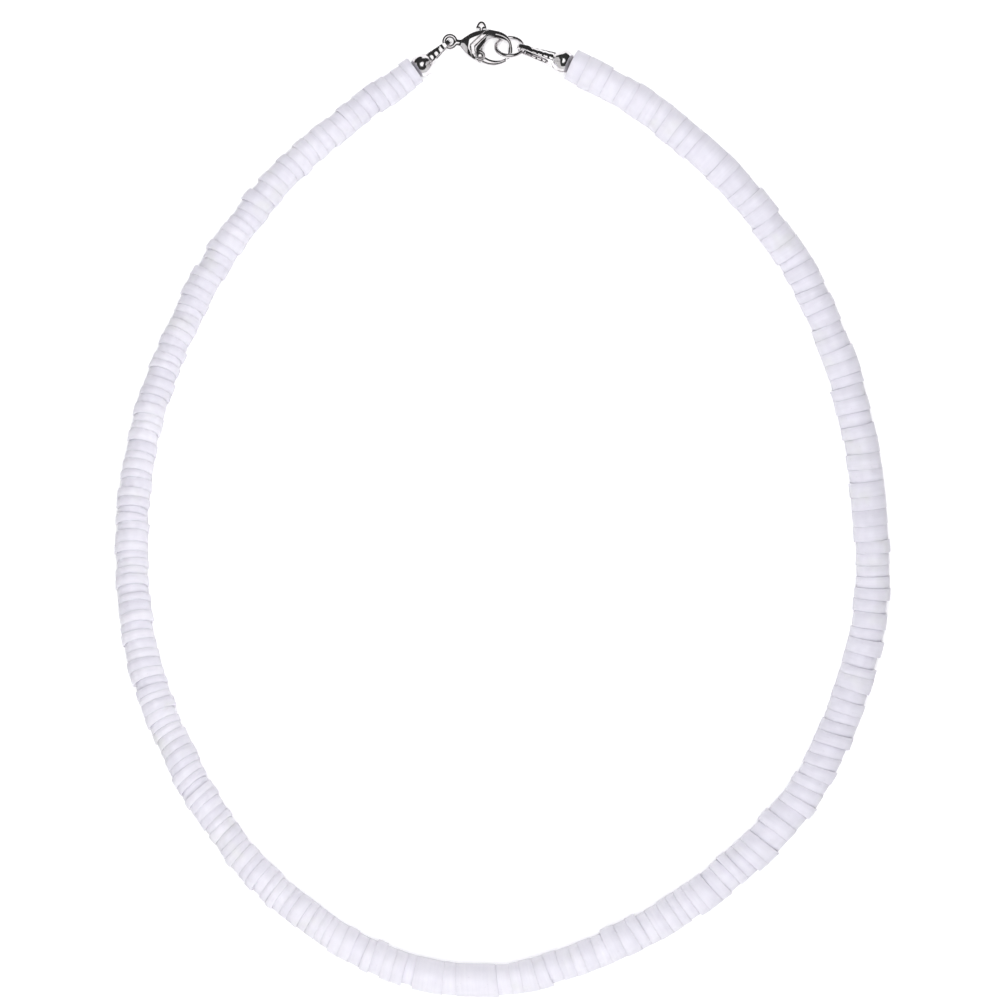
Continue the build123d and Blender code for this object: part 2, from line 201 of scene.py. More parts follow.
# %% [markdown]
# ## Pressing neighbours together
# The exact solids stand a tenth of a millimetre apart, so that they never touch. On the
# real strand the thread pulls them face to face. Between two neighbours lies one plane,
# halfway, and each bead is let out to it and a hair beyond, so that no light passes. How
# high that plane stands over the bead's middle, and how it slopes outwards, are kept for
# both of its faces. The two halves count as one row here, so their meeting closes too.

# %% The plane that each pair shares
HAIR = 0.008 * MM


def face_towards(bead, neighbour, way):
    """Height of the shared plane over the bead's middle, and its slope, on one side."""
    if neighbour is None:
        return bead["thickness"] / 2, 0.0
    normal = (bead["axis"] + neighbour["axis"]).normalized()
    gap_start = bead["centre"] + bead["axis"] * way * bead["thickness"] / 2
    gap_end = neighbour["centre"] - neighbour["axis"] * way * neighbour["thickness"] / 2
    middle = (gap_start + gap_end) / 2
    upright = normal.dot(bead["axis"])
    height = (middle - bead["centre"]).dot(normal) / upright * way + HAIR
    slope = -normal.dot(bead["outwards"]) / upright * way
    return height, slope


row = sorted((bead for beads in strands.values() for bead in beads), key=lambda bead: bead["place"])
for bead, before, after in zip(row, [None] + row[:-1], row[1:] + [None]):
    bead["before"], bead["after"] = face_towards(bead, before, -1), face_towards(bead, after, 1)
closing = [bead["after"][0] - bead["thickness"] / 2 for bead in row]
print(f"beads let out by up to {max(closing) / MM:.2f} mm a side")

# %% [markdown]
# ## How the strand changes along its length
# The discs are cut from shells of different thickness and colour, and strung as they come.
# Some stretches are thin, leaning discs with clear bands, others are rounder or smoother.
# A short table, read off, gives each stretch its mean tone, how much neighbours
# differ, how the discs lean and slant on the thread, and how worn their edges are.

# %% The character of each stretch
LOOKS = [
    # place, tone, spread, lean, slant, wear
    (0.00, 0.58, 0.10, 0.00, 0.00, 0.7),
    (0.03, 0.58, 0.12, -0.05, 0.04, 0.7),
    (0.12, 0.60, 0.14, -0.14, 0.08, 0.8),
    (0.20, 0.58, 0.20, -0.26, 0.03, 0.9),
    (0.28, 0.64, 0.20, -0.30, 0.03, 1.0),
    (0.36, 0.64, 0.16, -0.18, 0.12, 1.0),
    (0.46, 0.82, 0.08, -0.06, 0.05, 0.8),
    (0.55, 0.74, 0.10, 0.02, 0.10, 1.0),
    (0.66, 0.34, 0.10, -0.05, 0.05, 1.0),
    (0.76, 0.28, 0.10, -0.10, 0.00, 0.9),
    (0.88, 0.46, 0.10, -0.05, 0.04, 0.8),
    (0.97, 0.70, 0.06, -0.04, 0.00, 0.8),
    (1.00, 0.70, 0.06, 0.00, 0.00, 0.7),
]


def look_at(place):
    """Tone, spread, lean, slant and wear at a place along the thread."""
    columns = list(zip(*LOOKS))
    return [float(np.interp(place, columns[0], column)) for column in columns[1:]]


print("halfway look:", [round(v, 2) for v in look_at(0.5)])

# %% [markdown]
# ## One pattern for every bead
# A shape repeated two hundred times has to stay light. The pattern is a ring of six rows:
# both faces, two worn edges, the rim and the wall of the drilled hole, on twelve sides.
# Its points are written as shares: how far out from the hole, and how far along the axis.
# Geometry Nodes turns the shares into millimetres later, bead by bead.

# %% The bead pattern
SIDES = 12
PATTERN_HOLE = 0.5      # the pattern's own radius at the hole, where a share is nothing
EDGE_SHARE = 0.14       # share of the way out, and of the thickness, that is worn edge
SECTION = [  # share of the way from hole to rim, share of the thickness
    (0.0, -0.5), (1 - EDGE_SHARE, -0.5), (1.0, EDGE_SHARE - 0.5),
    (1.0, 0.5 - EDGE_SHARE), (1 - EDGE_SHARE, 0.5), (0.0, 0.5),
]


def bead_pattern():
    """The section carried round: faces between each side and the next."""
    pattern = bmesh.new()
    rings = []
    for side in range(SIDES):
        turn = math.tau * side / SIDES
        spots = [((PATTERN_HOLE + out) * math.cos(turn), (PATTERN_HOLE + out) * math.sin(turn), along)
                 for out, along in SECTION]
        rings.append([pattern.verts.new(spot) for spot in spots])
    for here, there in zip(rings, rings[1:] + rings[:1]):
        for level in range(len(SECTION)):
            after = (level + 1) % len(SECTION)
            pattern.faces.new((here[level], there[level], there[after], here[after]))
    bmesh.ops.recalc_face_normals(pattern, faces=pattern.faces)
    mesh = bpy.data.meshes.new("bead_pattern")
    pattern.to_mesh(mesh)
    pattern.free()
    return bpy.data.objects.new("bead_pattern", mesh)


pattern_bead = bead_pattern()
print("faces of one bead:", len(pattern_bead.data.polygons))

# %% [markdown]
# ## Marking where the beads sit
# Each bead becomes one point that carries its measurements as attributes. A bead's tone and
# wear follow the table, with seeded chance on top, so every run is the same. Lean and slant
# belong to the plane that two neighbours share and drift slowly from one to the next, so
# the discs come out a little wedged and still meet face to face. Each rim stays a hair
# inside the exact one, so the dressed strand is never bigger than the model.

# %% Points with measurements
STRING_SEED = 11
MOST_DRIFT = 0.04
DRIFT_KEPT = 0.8        # share of the drift that goes on to the next plane
END_SHARE = 0.03        # share of the thread at each end where the drift dies out
WEAR_RANGE = (0.4, 1.6)     # how much less or more worn than the table says
FIRST_NUMBER = 0.5      # beads count from here, so that the first one's noise moves on too


def shared_tilts():
    """Lean and slant of each plane between neighbours, with one more at either end."""
    chance = Random(STRING_SEED)
    lean_drift = slant_drift = 0.0
    tilts = []
    for place in [0.0] + [(a["place"] + b["place"]) / 2 for a, b in zip(row, row[1:])] + [1.0]:
        lean, slant = look_at(place)[2:4]
        lean_drift = DRIFT_KEPT * lean_drift + chance.uniform(-1, 1) * MOST_DRIFT
        slant_drift = DRIFT_KEPT * slant_drift + chance.uniform(-1, 1) * MOST_DRIFT
        held = min(1.0, place / END_SHARE, (1 - place) / END_SHARE)
        tilts.append((lean + lean_drift * held, slant + slant_drift * held))
    return tilts


tilts = shared_tilts()
for bead, tilt_before, tilt_after in zip(row, tilts, tilts[1:]):
    bead["tilt_before"], bead["tilt_after"] = tilt_before, tilt_after


def point_values(number, bead, chance):
    """All that a bead's point carries: its measurements, its tone and its wear."""
    tone, spread, _, _, wear = look_at(bead["place"])
    values = {
        "outwards": bead["outwards"], "up": bead["up"], "axis": bead["axis"],
        "hole": (*bead["hole"], 0.0), "half_width": bead["width"] / 2 - HAIR,
        "tone": min(1.0, max(0.0, tone + spread * chance.uniform(-1, 1))),
        "wear": wear * chance.uniform(*WEAR_RANGE), "number": number + FIRST_NUMBER,
    }
    for face in ("before", "after"):
        values[face], values["slope_" + face] = bead[face]
        values["lean_" + face], values["slant_" + face] = bead["tilt_" + face]
    return values


def bead_points(name, beads):
    """A mesh object with one point for each bead and an attribute for each of its values."""
    chance = Random(STRING_SEED + len(beads))
    mesh = bpy.data.meshes.new(name)
    mesh.from_pydata([bead["centre"] for bead in beads], [], [])
    records = [point_values(number, bead, chance) for number, bead in enumerate(beads)]
    for column in records[0]:
        values = np.array([record[column] for record in records], dtype=np.float32)
        kind, field = ("FLOAT", "value") if values.ndim == 1 else ("FLOAT_VECTOR", "vector")
        mesh.attributes.new(column, kind, "POINT").data.foreach_set(field, values.ravel())
    points = bpy.data.objects.new(name, mesh)
    bpy.context.scene.collection.objects.link(points)
    return points


carriers = {strand: bead_points(strand + "_points", beads) for strand, beads in strands.items()}
print("points to string on:", [len(points.data.vertices) for points in carriers.values()])

# %% [markdown]
# ## Shell, drilled and tumbled
# Puka discs are the worn tops of cone shells, drilled and tumbled to a soft gloss. Shell is
# calcium carbonate laid down in thin growth layers, so light enters it by under half a
# millimetre and comes back milky, which softens the lines between the discs. Layers lie
# parallel to the disc's faces and show on the rim as faint bands. The colour goes from
# porcelain white to a cool lavender grey, bead by bead, with a few greenish or sandy
# patches and tiny pits.

# %% Shell material
LAYER = 0.45        # mm between growth bands, drawn far coarser than real layers so that they show
BAND_REACH = 10     # mm across the disc over which a band holds
PATCH = 2.6         # mm across a cloudy patch
STAIN = 7           # mm across a sandy or green patch
PIT = 0.55          # mm between pits
PLAIN_CELLS = 0.9   # share of the pits' places that stay plain
PIT_STRENGTH = 0.22
PIT_DEPTH = 0.6     # against the height of a growth band
CLOUDING = 0.55     # how far bands and clouds move a bead's own tone


def shell_material():
    material = bpy.data.materials.new("tumbled_shell")
    material.use_nodes = True
    tree = material.node_tree
    shader = tree.nodes["Principled BSDF"]
    spot = add(tree, "ShaderNodeAttribute", attribute_name="spot").outputs["Vector"]
    tone = add(tree, "ShaderNodeAttribute", attribute_name="tone").outputs["Fac"]
    place = add(tree, "ShaderNodeTexCoord").outputs["Object"]

    # Growth bands: noise that is long across the disc and short along its axis
    layered = add(tree, "ShaderNodeMapping", {
        "Vector": spot, "Scale": (1 / BAND_REACH / MM, 1 / BAND_REACH / MM, 1 / LAYER / MM)})
    bands = add(tree, "ShaderNodeTexNoise", {
        "Vector": layered, "Scale": 1.0, "Detail": 3.0, "Roughness": 0.55, "Distortion": 0.3})
    clouds = add(tree, "ShaderNodeTexNoise", {
        "Vector": spot, "Scale": 1 / PATCH / MM, "Detail": 4.0, "Roughness": 0.6, "Distortion": 0.4})
    mixed = add(tree, "ShaderNodeMath", {0: bands, 1: clouds}, operation="ADD")
    varied = add(tree, "ShaderNodeMath", {0: mixed, 1: CLOUDING, 2: tone}, operation="MULTIPLY_ADD")
    level = add(tree, "ShaderNodeMapRange", {
        "Value": varied, "From Min": 0.55, "From Max": 1.65, "To Min": 0.0, "To Max": 1.0})
    body = add(tree, "ShaderNodeValToRGB", {"Fac": level})
    ramp = body.color_ramp
    ramp.elements[0].color = linear("#C0BEC8")
    ramp.elements[1].color = linear("#DAD8DF")
    ramp.elements.new(0.5).color = linear("#CDCBD5")

    # A few patches of sand and pale green, the size of several beads
    wide = add(tree, "ShaderNodeTexNoise", {
        "Vector": place, "Scale": 1 / STAIN / MM, "Detail": 3.0, "Roughness": 0.6})
    stain = add(tree, "ShaderNodeMapRange", {
        "Value": wide, "From Min": 0.56, "From Max": 0.74, "To Min": 0.0, "To Max": 0.35})
    stained = add(tree, "ShaderNodeMix", {0: stain, 6: body, 7: linear("#C4C6BF")}, data_type="RGBA")

    # Pits: the centres of a few scattered cells, small and a little darker
    cells = add(tree, "ShaderNodeTexVoronoi", {"Vector": spot, "Scale": 1 / PIT / MM, "Randomness": 1.0})
    chosen = add(tree, "ShaderNodeSeparateColor", {"Color": cells.outputs["Color"]})
    rare = add(tree, "ShaderNodeMath", {0: chosen, 1: PLAIN_CELLS}, operation="GREATER_THAN")
    dot = add(tree, "ShaderNodeMapRange", {
        "Value": cells, "From Min": 0.05, "From Max": 0.26, "To Min": 1.0, "To Max": 0.0})
    pits = add(tree, "ShaderNodeMath", {0: rare, 1: dot}, operation="MULTIPLY")
    strength = add(tree, "ShaderNodeMath", {0: pits, 1: PIT_STRENGTH}, operation="MULTIPLY")
    pitted = add(tree, "ShaderNodeMix", {
        0: strength, 6: stained.outputs[2], 7: linear("#9A9496")}, data_type="RGBA")
    tree.links.new(pitted.outputs[2], shader.inputs["Base Color"])

    gloss = add(tree, "ShaderNodeMapRange", {
        "Value": clouds, "From Min": 0.3, "From Max": 0.7, "To Min": 0.30, "To Max": 0.48})
    tree.links.new(gloss.outputs["Result"], shader.inputs["Roughness"])
    shader.inputs["IOR"].default_value = 1.53
    shader.inputs["Subsurface Weight"].default_value = 0.4
    shader.inputs["Subsurface Radius"].default_value = (1.0, 0.9, 0.95)
    shader.inputs["Subsurface Scale"].default_value = 0.4 * MM

    relief = add(tree, "ShaderNodeMath", {0: pits, 1: -PIT_DEPTH, 2: bands}, operation="MULTIPLY_ADD")
    bump = add(tree, "ShaderNodeBump", {"Height": relief, "Strength": 0.35, "Distance": 0.08 * MM})
    tree.links.new(bump.outputs["Normal"], shader.inputs["Normal"])
    return material


shell = shell_material()
print("material:", shell.name, len(shell.node_tree.nodes), "nodes")

# %% [markdown]
# ## Stringing the beads with Geometry Nodes
# The beads repeat along the thread, so a node tree places them: it puts the pattern on
# every point, makes the copies real, and works out each vertex from the bead's own width,
# thickness and hole. Before the copies are made, the pattern's vertices keep their shares
# and the points keep their places as attributes, because a copy's own position hides both.

# %% Copies of the pattern
FACE_VALUES = ("", "slope_", "lean_", "slant_")
VECTORS = ("share", "centre", "hole", "outwards", "up", "axis")
NUMBERS = ["half_width", "wear", "number"]
NUMBERS += [name + face for name in FACE_VALUES for face in ("before", "after")]


def copies_on_points(tree, given):
    """The pattern on every point, made real, with its shares and its bead's centre kept."""
    where = add(tree, "GeometryNodeInputPosition")
    source = add(tree, "GeometryNodeObjectInfo", {"Object": given["Pattern"]})
    pattern = add(tree, "GeometryNodeStoreNamedAttribute", {
        "Geometry": source.outputs["Geometry"], "Name": "share", "Value": where}, data_type="FLOAT_VECTOR")
    standing = add(tree, "GeometryNodeStoreNamedAttribute", {
        "Geometry": given["Geometry"], "Name": "centre", "Value": where}, data_type="FLOAT_VECTOR")
    points = add(tree, "GeometryNodeMeshToPoints", {"Mesh": standing})
    copies = add(tree, "GeometryNodeInstanceOnPoints", {"Points": points, "Instance": pattern})
    return add(tree, "GeometryNodeRealizeInstances", {"Geometry": copies})


print("attributes that the tree reads:", len(VECTORS) + len(NUMBERS))

# %% [markdown]
# ## How far out and how far in
# A vertex stands on the rim or at the hole. Tumbling pares the rim, so noise runs round
# each bead, different on every one, and only takes away. The worn edge is a size in
# millimetres, so it is the same on a thin disc and on a long one.

# %% Rim, hole and worn edge
OWN_NOISE = 3.7         # how far the noise moves on from one bead to the next
NOISE_ALONG = 0.8       # how much the noise changes from one face to the other
HALFWAY = 0.5           # share of the way out, past which a vertex is the rim's
HALF_THICKNESS = 0.5    # of the pattern, where a face lies


def worn_outline(tree, given, read, way, radius, along):
    """How far a vertex stands from the bead's middle, and how far below the flat of its face."""
    turned = add(tree, "ShaderNodeVectorMath", {
        0: read["share"], 1: (0.0, 0.0, NOISE_ALONG), 2: way}, operation="MULTIPLY_ADD")
    own = add(tree, "ShaderNodeMath", {
        0: read["number"], 1: OWN_NOISE, 2: given["Seed"]}, operation="MULTIPLY_ADD")
    noise = add(tree, "ShaderNodeTexNoise", {
        "Vector": turned, "W": own, "Scale": 0.9, "Detail": 2.0, "Roughness": 0.6}, noise_dimensions="4D")
    depth = add(tree, "ShaderNodeMath", {0: given["Chip Depth"], 1: read["wear"]}, operation="MULTIPLY")
    chip = add(tree, "ShaderNodeMapRange", {
        "Value": noise, "From Min": 0.40, "From Max": 0.75, "To Min": 0.0, "To Max": depth})
    rim = add(tree, "ShaderNodeMath", {0: read["half_width"], 1: chip}, operation="SUBTRACT")

    # The edge's own size, both inwards from the rim and down from the face
    edge = add(tree, "ShaderNodeMath", {0: given["Edge Size"], 1: read["wear"]}, operation="MULTIPLY")
    per_share = add(tree, "ShaderNodeMath", {0: edge, 1: EDGE_SHARE}, operation="DIVIDE")
    past_rim = add(tree, "ShaderNodeMath", {0: radius, 1: PATTERN_HOLE + 1}, operation="SUBTRACT")
    worn = add(tree, "ShaderNodeMath", {0: past_rim, 1: per_share, 2: rim}, operation="MULTIPLY_ADD")
    is_rim = add(tree, "ShaderNodeMath", {0: radius, 1: PATTERN_HOLE + HALFWAY}, operation="GREATER_THAN")
    reach = add(tree, "ShaderNodeMix", {0: is_rim, 2: given["Hole Radius"], 3: worn})
    from_middle = add(tree, "ShaderNodeMath", {0: along}, operation="ABSOLUTE")
    short = add(tree, "ShaderNodeMath", {0: HALF_THICKNESS, 1: from_middle}, operation="SUBTRACT")
    inset = add(tree, "ShaderNodeMath", {0: short, 1: per_share}, operation="MULTIPLY")
    return is_rim, reach, inset


print("worn edge takes", EDGE_SHARE, "of the pattern")

# %% [markdown]
# ## From shares to places
# The hole is drilled a little off centre, and the disc leans and slants on the thread. Each
# face has its own height, slope, lean and slant, so every vertex first picks the values of
# the face that it belongs to. Its place is then the bead's centre plus three steps: across,
# upwards and along the bead's own axis.

# %% Place of each vertex
OWN_SPOT = 13.7 * MM    # how far the material's patterns move on from one bead to the next


def vertex_places(tree, given, read):
    """A vertex's place in the necklace, and the spot on its bead that the material reads."""
    share = add(tree, "ShaderNodeSeparateXYZ", {0: read["share"]}).outputs
    flat = add(tree, "ShaderNodeVectorMath", {0: read["share"], 1: (1.0, 1.0, 0.0)}, operation="MULTIPLY")
    way = add(tree, "ShaderNodeVectorMath", {0: flat}, operation="NORMALIZE")
    radius = add(tree, "ShaderNodeVectorMath", {0: flat}, operation="LENGTH").outputs["Value"]
    is_rim, reach, inset = worn_outline(tree, given, read, way, radius, share["Z"])

    # Only the wall of the hole moves with the hole
    is_wall = add(tree, "ShaderNodeMath", {0: 1.0, 1: is_rim}, operation="SUBTRACT")
    shift = add(tree, "ShaderNodeVectorMath", {0: read["hole"], 1: is_wall}, operation="MULTIPLY")
    on_disc = add(tree, "ShaderNodeVectorMath", {0: way, 1: reach, 2: shift}, operation="MULTIPLY_ADD")
    step = add(tree, "ShaderNodeSeparateXYZ", {0: on_disc}).outputs

    # The values of the face that the vertex belongs to: the one before or the one after
    is_after = add(tree, "ShaderNodeMath", {0: share["Z"], 1: 0.0}, operation="GREATER_THAN")
    face = {name: add(tree, "ShaderNodeMix", {0: is_after, 2: read[name + "before"], 3: read[name + "after"]})
            for name in FACE_VALUES}
    side = add(tree, "ShaderNodeMath", {0: share["Z"]}, operation="SIGN")
    half = add(tree, "ShaderNodeMath", {
        0: face["slope_"], 1: step["X"], 2: face[""]}, operation="MULTIPLY_ADD")
    worn_half = add(tree, "ShaderNodeMath", {0: half, 1: inset}, operation="SUBTRACT")
    height = add(tree, "ShaderNodeMath", {0: side, 1: worn_half}, operation="MULTIPLY")

    # Lean and slant turn the disc about its hole
    from_hole = add(tree, "ShaderNodeVectorMath", {0: on_disc, 1: read["hole"]}, operation="SUBTRACT")
    tilt = add(tree, "ShaderNodeCombineXYZ", {0: face["slant_"], 1: face["lean_"]})
    tilted = add(tree, "ShaderNodeVectorMath", {0: from_hole, 1: tilt}, operation="DOT_PRODUCT")
    along = add(tree, "ShaderNodeMath", {0: height, 1: tilted.outputs["Value"]}, operation="ADD")
    place = read["centre"]
    for direction, distance in (("outwards", step["X"]), ("up", step["Y"]), ("axis", along)):
        place = add(tree, "ShaderNodeVectorMath", {0: read[direction], 1: distance, 2: place},
                    operation="MULTIPLY_ADD")

    # The spot moves on from bead to bead, so that no two beads match
    on_bead = add(tree, "ShaderNodeCombineXYZ", {0: step["X"], 1: step["Y"], 2: height})
    spot = add(tree, "ShaderNodeVectorMath", {
        0: read["number"], 1: (OWN_SPOT, 0.0, OWN_SPOT), 2: on_bead}, operation="MULTIPLY_ADD")
    return place, spot


print(f"patterns move on by {OWN_SPOT / MM:.1f} mm a bead")

# %% [markdown]
# ## The whole tree
# The sizes are named inputs, so a reader can open the tree and try others. The tree ends in
# real geometry with its material, because what is exported has to be a plain mesh.

# %% The bead tree
TREE_INPUTS = {
    "Geometry": "NodeSocketGeometry", "Pattern": "NodeSocketObject", "Hole Radius": "NodeSocketFloat",
    "Edge Size": "NodeSocketFloat", "Chip Depth": "NodeSocketFloat", "Seed": "NodeSocketFloat",
    "Shell": "NodeSocketMaterial",
}


def bead_tree():
    """Points in, a string of dressed beads out."""
    tree = bpy.data.node_groups.new("string_of_shell_beads", "GeometryNodeTree")
    for name, kind in TREE_INPUTS.items():
        tree.interface.new_socket(name, in_out="INPUT", socket_type=kind)
    tree.interface.new_socket("Geometry", in_out="OUTPUT", socket_type="NodeSocketGeometry")
    given = add(tree, "NodeGroupInput").outputs
    read = {name: add(tree, "GeometryNodeInputNamedAttribute", {"Name": name}, data_type=kind)
            for kind, names in (("FLOAT_VECTOR", VECTORS), ("FLOAT", NUMBERS)) for name in names}
    place, spot = vertex_places(tree, given, read)
    marked = add(tree, "GeometryNodeStoreNamedAttribute", {
        "Geometry": copies_on_points(tree, given), "Name": "spot", "Value": spot}, data_type="FLOAT_VECTOR")
    moved = add(tree, "GeometryNodeSetPosition", {"Geometry": marked, "Position": place})
    smooth = add(tree, "GeometryNodeSetShadeSmooth", {"Geometry": moved})
    whole = add(tree, "GeometryNodeRealizeInstances", {"Geometry": smooth})
    dressed = add(tree, "GeometryNodeSetMaterial", {"Geometry": whole, "Material": given["Shell"]})
    add(tree, "NodeGroupOutput", {"Geometry": dressed})
    return tree


string_tree = bead_tree()
print("nodes in the bead tree:", len(string_tree.nodes))

# %% [markdown]
# ## Stringing both halves
# Each half runs through the tree once. The result is kept as a plain mesh, and the values
# that only the tree needed are taken off it. Tone and spot stay, for the shell to read.

# %% Both halves
BEAD_INPUTS = {
    "Pattern": pattern_bead, "Hole Radius": 0.6 * MM, "Edge Size": 0.08 * MM, "Chip Depth": 0.22 * MM,
    "Seed": 4.0, "Shell": shell,
}


def realized(carrier, tree, values, name):
    """Runs a tree on an object and keeps the result as a plain mesh object."""
    modifier = carrier.modifiers.new("build", "NODES")
    modifier.node_group = tree
    for item in tree.interface.items_tree:
        if item.in_out == "INPUT" and item.name in values:
            modifier[item.identifier] = values[item.name]
    depsgraph = bpy.context.evaluated_depsgraph_get()
    mesh = bpy.data.meshes.new_from_object(carrier.evaluated_get(depsgraph))
    mesh.name = name
    carrier.modifiers.clear()
    bpy.data.objects.remove(carrier)
    piece = bpy.data.objects.new(name, mesh)
    bpy.context.scene.collection.objects.link(piece)
    return piece


for strand, points in carriers.items():
    piece = realized(points, string_tree, BEAD_INPUTS, "tumbled_" + strand)
    for leftover in (*VECTORS, *NUMBERS):
        piece.data.attributes.remove(piece.data.attributes[leftover])
    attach(piece, "necklace")
    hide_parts(strand)
    print(piece.name, len(piece.data.polygons), "faces")
bpy.data.objects.remove(pattern_bead)

# %% [markdown]
# ## Rounding the cast and folded metal
# Clasps are cast, trimmed and tumbled before plating, so no edge on them is sharp. The
# exact solids have crisp edges. A voxel remesh at a few hundredths of a millimetre makes
# an even skin, and a few rounds of smoothing melt its edges, as tumbling and plating do.
# Remeshing works at any scale, but its smallest voxel is a tenth of a unit, so the copy is
# worked on in millimetres and brought back to metres.

# %% Rounded copies of the metal solids
def rounded_copy(node_name, new_name, voxel, rounds):
    """A smooth-edged copy of a node: voxel in mm, and how many rounds of smoothing."""
    copy = merged_copy(node_name)
    bmesh.ops.scale(copy, vec=(1 / MM, 1 / MM, 1 / MM), verts=copy.verts)
    rough = bpy.data.meshes.new(new_name + "_rough")
    copy.to_mesh(rough)
    copy.free()
    carrier = bpy.data.objects.new(new_name + "_rough", rough)
    bpy.context.scene.collection.objects.link(carrier)
    remesh = carrier.modifiers.new("skin", "REMESH")
    remesh.mode = "VOXEL"
    remesh.voxel_size = voxel
    soften = carrier.modifiers.new("soften", "SMOOTH")
    soften.factor = 0.5
    soften.iterations = rounds
    depsgraph = bpy.context.evaluated_depsgraph_get()
    mesh = bpy.data.meshes.new_from_object(carrier.evaluated_get(depsgraph))
    bpy.data.objects.remove(carrier)
    mesh.transform(Matrix.Scale(MM, 4))
    mesh.shade_smooth()
    mesh.name = new_name
    piece = bpy.data.objects.new(new_name, mesh)
    bpy.context.scene.collection.objects.link(piece)
    print(new_name, len(mesh.polygons), "faces")
    return piece


METAL_PIECES = {
    # node: (new name, voxel in mm, rounds of smoothing, body)
    "clasp_body": ("cast_clasp_body", 0.065, 12, "necklace"),
    "clasp_lever": ("stamped_clasp_lever", 0.055, 5, "lever"),
    "clasp_pin": ("clasp_rivet", 0.045, 5, "necklace"),
    "jump_ring": ("wire_jump_ring", 0.05, 2, "necklace"),
    "bead_tip_left": ("folded_tip_left", 0.06, 3, "necklace"),
    "bead_tip_right": ("folded_tip_right", 0.06, 3, "necklace"),
}
metal = {node: rounded_copy(node, name, voxel, rounds)
         for node, (name, voxel, rounds, _) in METAL_PIECES.items()}

# %% [markdown]
# ## Sloping the rims of the clasp
# Polishing takes most from the rims, so a cast clasp is highest along its middle and falls
# off towards its outline. Each point near a rim is lowered towards the clasp's middle plane,
# by more the nearer it is. The core round the lever's slot keeps its exact shape, so the
# lever still turns freely.

# %% Sloped rims
OUTER_WALLS = (0.55, 0.80)      # share of the half height: over the lever's slot, under the groove
FLAT, STEEP = 0.8, 0.5          # a normal's share of upright: more is a face, less is a wall
NEIGHBOURS = 12                 # points that an average is taken over
FALL = 1.25                     # how the slope bends: 1 is straight, more is steeper at the rim
POLISH_ROUNDS = 3
RIMS = {
    # node: how wide the slope is, share taken off, and the core kept at two half heights
    "clasp_body": (0.85 * MM, 0.62, ((0.6 * MM, 0.1 * MM), (1.15 * MM, 0.62 * MM))),
    "clasp_lever": (0.34 * MM, 0.5, ((0.45 * MM, 0.1 * MM), (1.15 * MM, 0.1 * MM))),
}


def tree_of(points, chosen):
    """A search tree of some points, as seen from above."""
    tree = KDTree(len(chosen))
    for i in chosen:
        tree.insert((points[i][0], points[i][1], 0.0), i)
    tree.balance()
    return tree


def soften_rims(piece, spread, share, core_range):
    """Lowers both faces near their rims: over spread, by a share of what lies above the core."""
    polished = bmesh.new()
    polished.from_mesh(piece.data)
    points = np.array([v.co[:] for v in polished.verts])
    normals = np.array([v.normal[:] for v in polished.verts])
    middle = (points[:, 2].max() + points[:, 2].min()) / 2
    height = points[:, 2] - middle
    side = np.where(height < 0, -1.0, 1.0)
    faces = tree_of(points, np.flatnonzero(normals[:, 2] * side > FLAT))
    halves = []
    for x, y, _ in points:
        nearest = faces.find_n((x, y, 0.0), NEIGHBOURS)
        halves.append(np.mean([abs(height[i]) for _, i, _ in nearest]))
    halves = np.array(halves)
    level = np.abs(height) / halves
    outer = (np.abs(normals[:, 2]) < STEEP) & (level > OUTER_WALLS[0]) & (level < OUTER_WALLS[1])
    walls = tree_of(points, np.flatnonzero(outer))
    cores = np.interp(halves, *zip(*core_range))
    for vertex, half, core, reach, up in zip(polished.verts, halves, cores, np.abs(height), side):
        above = min(1.0, max(0.0, (reach - core) / (half - core)))
        away = walls.find((vertex.co.x, vertex.co.y, 0.0))[2]
        nearness = max(0.0, 1.0 - away / spread)
        vertex.co.z -= up * share * (half - core) * nearness ** FALL * above
    for _ in range(POLISH_ROUNDS):
        bmesh.ops.smooth_vert(polished, verts=polished.verts, factor=0.5, use_axis_x=True,
                              use_axis_y=True, use_axis_z=True)
    polished.to_mesh(piece.data)
    polished.free()


for node, (spread, share, core_range) in RIMS.items():
    heights = np.array([v.co.z for v in metal[node].data.vertices])
    soften_rims(metal[node], spread, share, core_range)
    moved = np.abs(heights - [v.co.z for v in metal[node].data.vertices])
    print(f"{node}: rims moved by up to {moved.max() / MM:.2f} mm")

# %% [markdown]
# ## Strips rolled hollow, with cross ribs
# The strip that joins a knot cup to the clasp or the ring is pressed between ribbed rolls,
# so it is a little arched across and has small ribs. The cup's place is known from the end
# bead next to it. The strip's own normal and long axis come from its points, then its edges
# are bent down and a wave along it lifts the ribs.

# %% Arched and ribbed strips
CUP_RADIUS = 2.05 * MM
CUP_PART = 4                # the nearest quarter of a tip's points is its cup
RIB_PITCH = 1.0 * MM
RIB_HEIGHT = 0.07 * MM
RIBS_FROM, RIBS_FULL = 0.25 * MM, 0.65 * MM     # from the cup
STRIP_FROM = 0.4 * MM       # from the cup, where the flat strip has begun
STRIP_HALF_WIDTH = 0.75 * MM
LOOP_REACH = 1.8 * MM       # from the strip's end over the wire, which stays as it is
FACING_UP = 0.7
RIBBED = (0.5, 0.9)         # a normal's share of upright, from where ribs begin to where they are full
ARCHES = {
    # node: the end bead next to it, how far the strip's edges are bent down
    "bead_tip_left": (row[0], 0.16 * MM),
    "bead_tip_right": (row[-1], 0.32 * MM),
}


